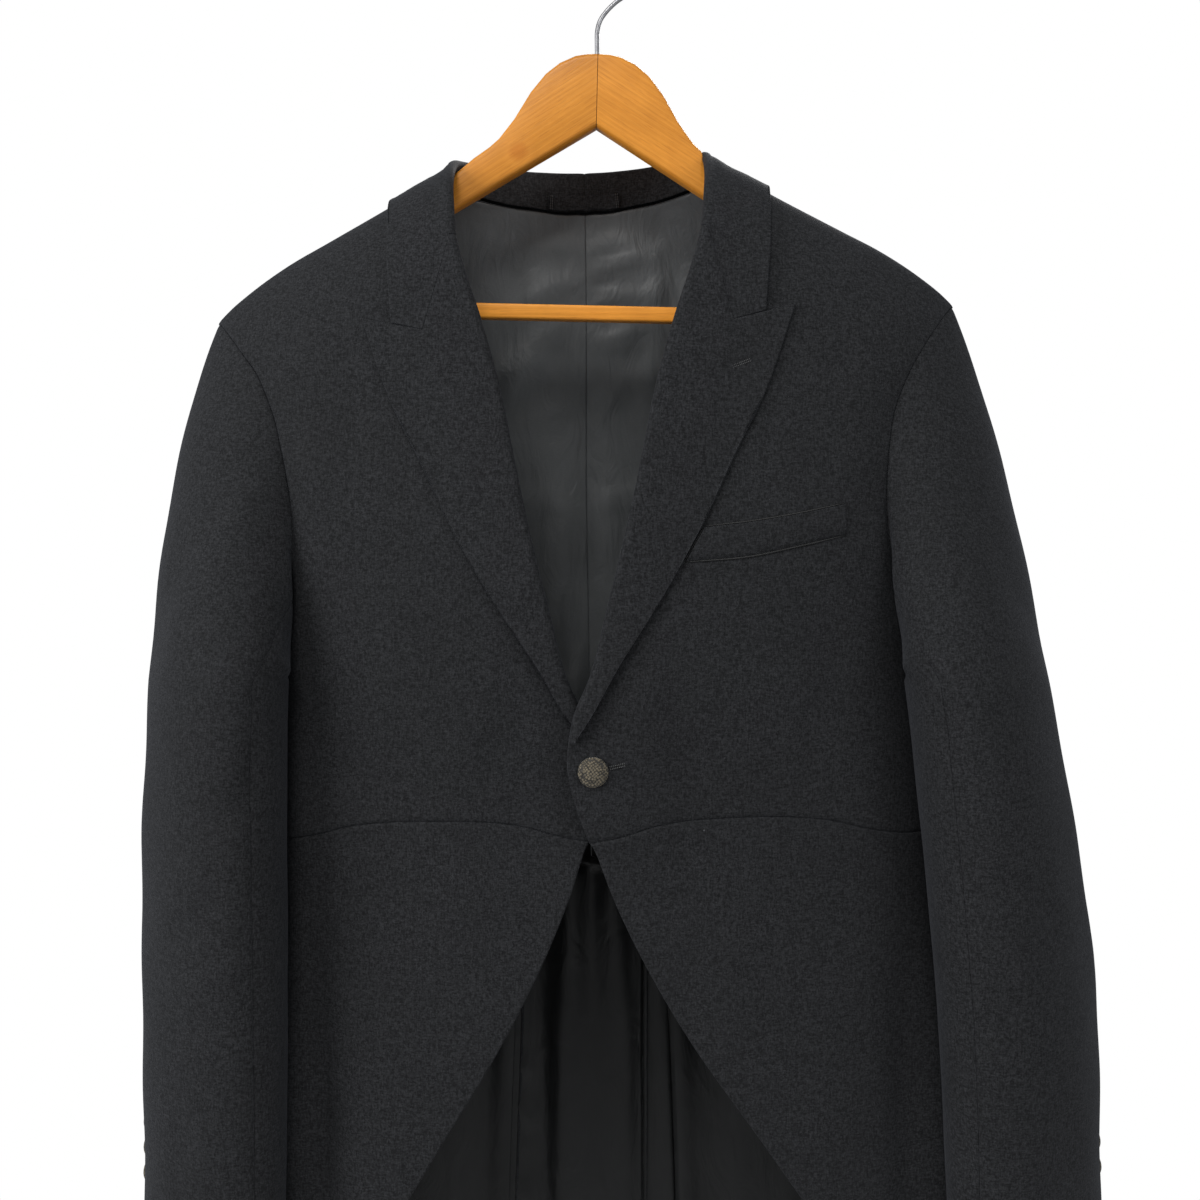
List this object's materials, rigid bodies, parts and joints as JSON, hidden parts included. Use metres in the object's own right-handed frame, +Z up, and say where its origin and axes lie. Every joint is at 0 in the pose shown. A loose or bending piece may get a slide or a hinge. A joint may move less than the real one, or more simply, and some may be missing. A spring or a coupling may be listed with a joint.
{
  "type": "cutaway tailcoat on a hanger",
  "caption": "Dark wool cutaway tailcoat with peak lapels, breast welt, waist seam and pleated tails, buttoned at the waist and hung on a wooden hanger.",
  "frame": {"origin": "seat of the hook, the inner top of its ring, where it hangs on a rail", "axes": "+Z up, -Y to the coat's front, +X to the wearer's left"},
  "size_m": [0.627, 0.1382, 1.1723],
  "materials": {
    "wool": "matte dark charcoal wool with a fine weave",
    "satin": "dark satin lining",
    "woven_button": "woven brownish grey",
    "wood": "clear varnish",
    "steel": "polished wire"
  },
  "bodies": {
    "root": {"back_left": "wool", "back_right": "wool", "breast_welt": "wool", "button_back_left": "woven_button", "button_back_right": "woven_button", "button_cuff_left_1": "woven_button", "button_cuff_left_2": "woven_button", "button_cuff_left_3": "woven_button", "button_cuff_right_1": "woven_button", "button_cuff_right_2": "woven_button", "button_cuff_right_3": "woven_button", "button_front": "woven_button", "collar_left": "wool", "collar_right": "wool", "front_left": "wool", "front_right": "wool", "hanger_arm_left": "wood", "hanger_arm_right": "wood", "hanger_bar": "wood", "hanger_hook": "steel", "hanging_loop": "satin", "lapel_left": "wool", "lapel_right": "wool", "lining_back_left": "satin", "lining_back_right": "satin", "lining_skirt_left": "satin", "lining_skirt_right": "satin", "side_left": "wool", "side_right": "wool", "skirt_left": "wool", "skirt_right": "wool", "topsleeve_left": "wool", "topsleeve_right": "wool", "undersleeve_left": "wool", "undersleeve_right": "wool"}
  },
  "joints": []
}
